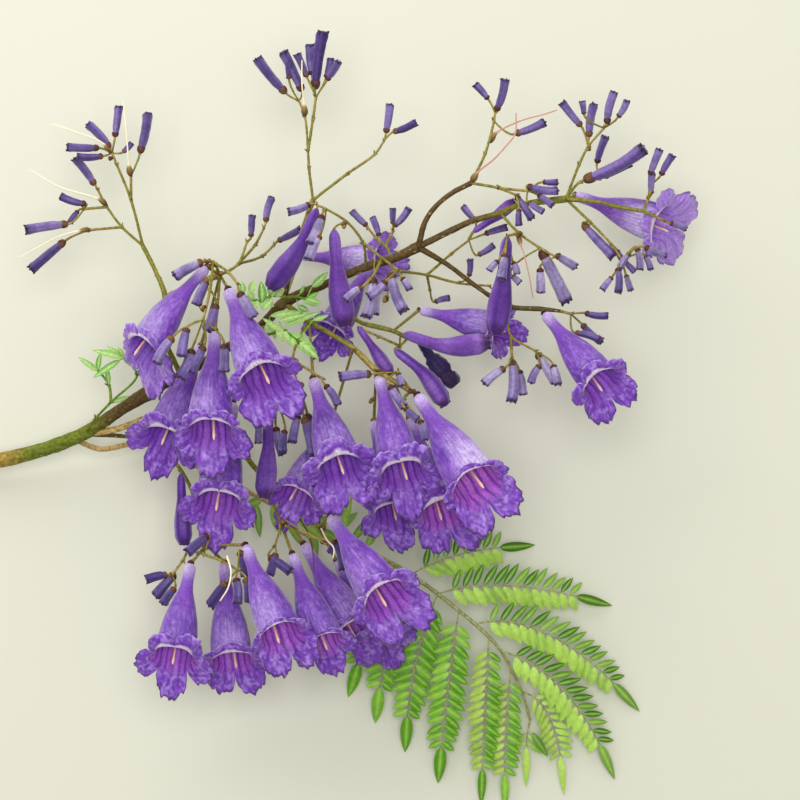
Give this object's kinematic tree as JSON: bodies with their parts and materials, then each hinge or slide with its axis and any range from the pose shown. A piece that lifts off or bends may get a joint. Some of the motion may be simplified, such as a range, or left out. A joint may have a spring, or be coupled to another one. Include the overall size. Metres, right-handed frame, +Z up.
{
  "type": "cut flowering jacaranda branch",
  "caption": "Cut flowering branch that lies on the ground: a slim bent stem with side twigs, hanging violet bell flowers, sprays of club-shaped buds and one feathery leaf.",
  "frame": {"origin": "on the ground, under the middle of the branch's outline", "axes": "+Z up from the ground, +X away from the cut end along the branch, +Y to the side that the leaf points away from"},
  "size_m": [0.2769, 0.282, 0.0959],
  "materials": {
    "bark": "matte bark, olive to brown",
    "green_bark": "matte green twig bark",
    "blossom": "soft satin violet petal",
    "bud": "velvety lilac-grey bud",
    "leaf": "satin green leaflet",
    "young_leaf": "satin pale green leaflet"
  },
  "bodies": {
    "root": {"arch_spray": "bud", "back_left_spray": "bud", "back_middle_spray": "bud", "back_right_spray": "bud", "crook_bough": "bark", "crook_spray": "bud", "flower_back_1": "blossom", "flower_back_2": "blossom", "flower_inner_1": "blossom", "flower_left_1": "blossom", "flower_left_2": "blossom", "flower_left_3": "blossom", "flower_left_4": "blossom", "flower_left_5": "blossom", "flower_lower_1": "blossom", "flower_lower_2": "blossom", "flower_lower_3": "blossom", "flower_lower_4": "blossom", "flower_lower_5": "blossom", "flower_lower_6": "blossom", "flower_lower_7": "blossom", "flower_middle_1": "blossom", "flower_middle_2": "blossom", "flower_middle_3": "blossom", "flower_middle_4": "blossom", "flower_middle_5": "blossom", "flower_middle_6": "blossom", "flower_right_1": "blossom", "flower_right_2": "blossom", "hanging_cluster": "bud", "hanging_spray": "bud", "inner_bough": "green_bark", "inner_cluster": "bud", "leaf": "leaf", "left_column_bough": "green_bark", "left_column_buds": "bud", "low_right_bough": "bark", "low_right_spray": "bud", "lower_bough": "green_bark", "lower_left_bough": "bark", "lower_left_buds": "bud", "lower_row_buds": "bud", "main_stem": "bark", "middle_bough": "green_bark", "middle_buds": "bud", "middle_right_buds": "bud", "outer_stem": "bark", "tip_bough": "green_bark", "tip_end_spray": "bud", "tip_hanging_spray": "bud", "tip_middle_spray": "bud", "tip_upper_spray": "bud", "top_bough": "bark", "top_left_bough": "green_bark", "top_left_side_spray": "bud", "top_left_upper_spray": "bud", "top_spray": "bud", "young_leaf_left": "young_leaf", "young_leaves_middle": "young_leaf", "young_leaves_upper": "young_leaf"}
  },
  "joints": []
}
